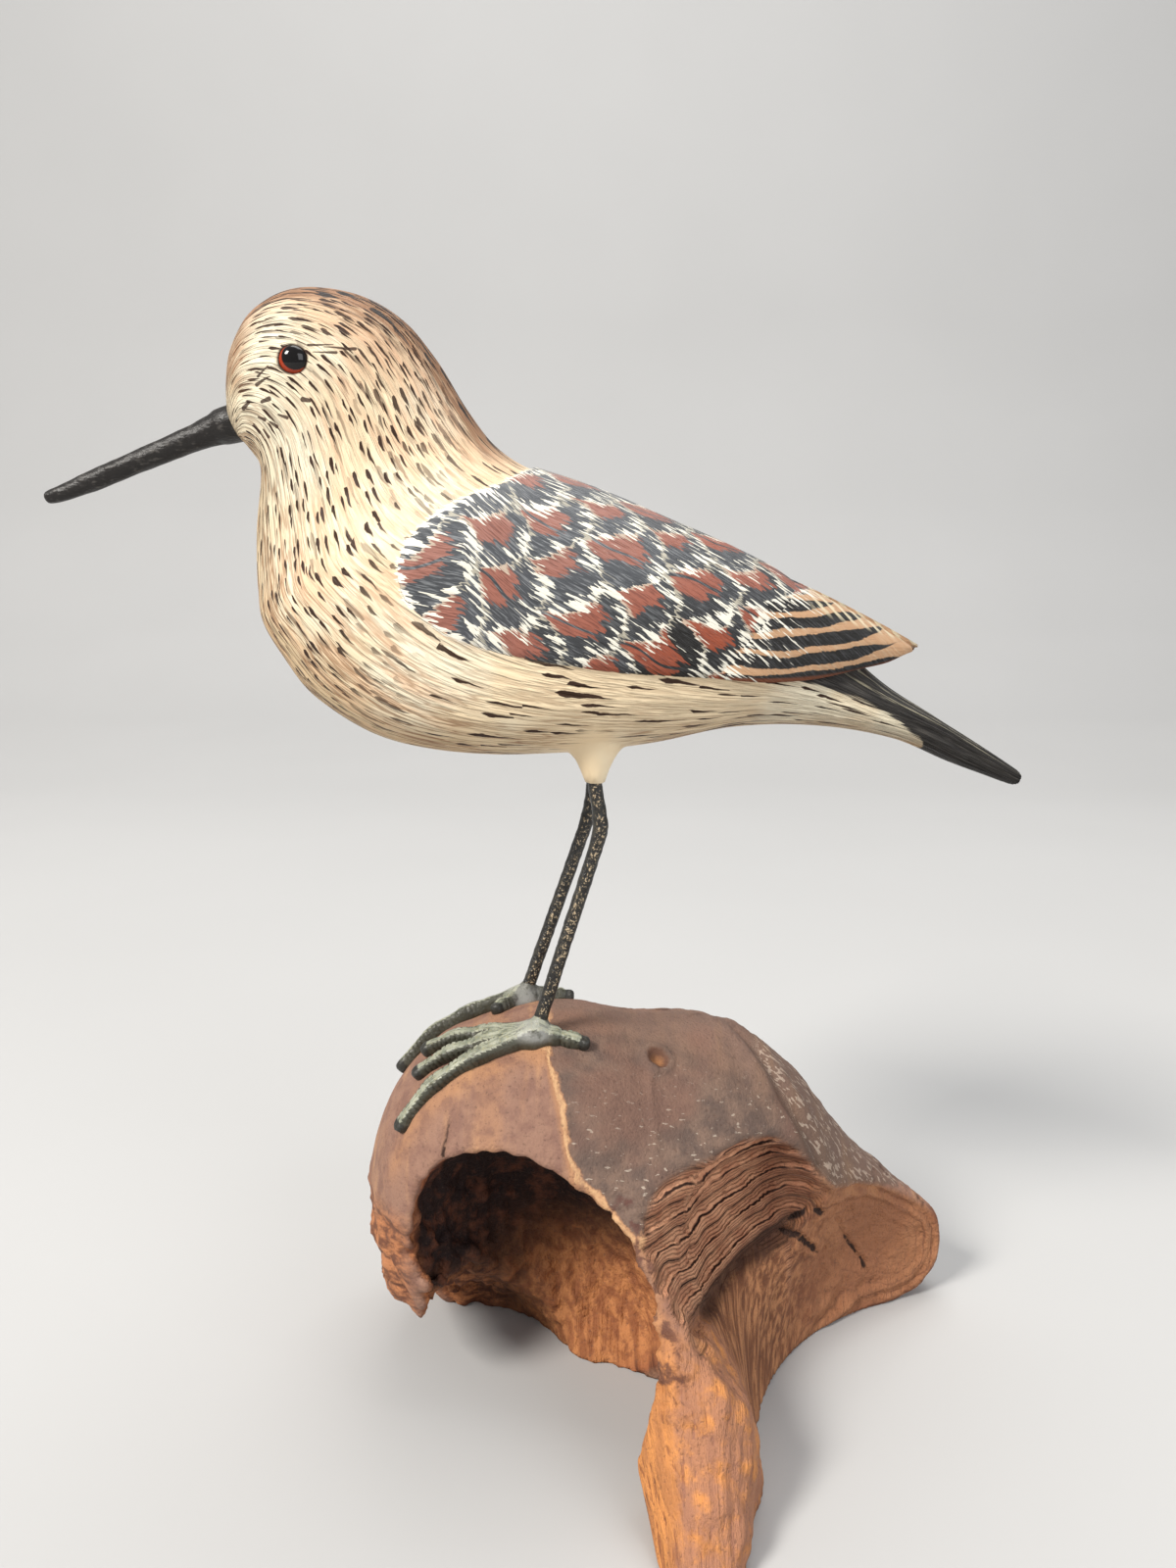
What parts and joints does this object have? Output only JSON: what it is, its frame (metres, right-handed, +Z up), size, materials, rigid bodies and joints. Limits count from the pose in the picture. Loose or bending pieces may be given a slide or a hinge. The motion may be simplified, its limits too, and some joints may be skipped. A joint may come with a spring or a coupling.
{
  "type": "shorebird decoy",
  "caption": "Carved and painted wooden shorebird with a long dark bill, on wire legs over a weathered driftwood root that stands by itself.",
  "frame": {"origin": "on the ground under the middle of the object's bounding box", "axes": "+Z up, the bird faces -X, its left side and the hollow of the driftwood are on -Y"},
  "size_m": [0.2198, 0.1306, 0.2516],
  "materials": {
    "painted_wood": "carved wood, thinly painted in cream, browns and rust, satin",
    "bill_black": "painted black, satin",
    "eye_glass": "black glass, polished",
    "leg_wire": "black painted wire, lumpy gloss",
    "foot_paint": "modelling putty painted sage green and black",
    "driftwood": "weathered grey and red-brown root wood, dry"
  },
  "bodies": {
    "root": {"bird_body": "painted_wood", "bill": "bill_black", "eye_left": "eye_glass", "eye_right": "eye_glass", "leg_left": "leg_wire", "leg_right": "leg_wire", "foot_left": "foot_paint", "foot_right": "foot_paint", "driftwood_base": "driftwood"}
  },
  "joints": []
}
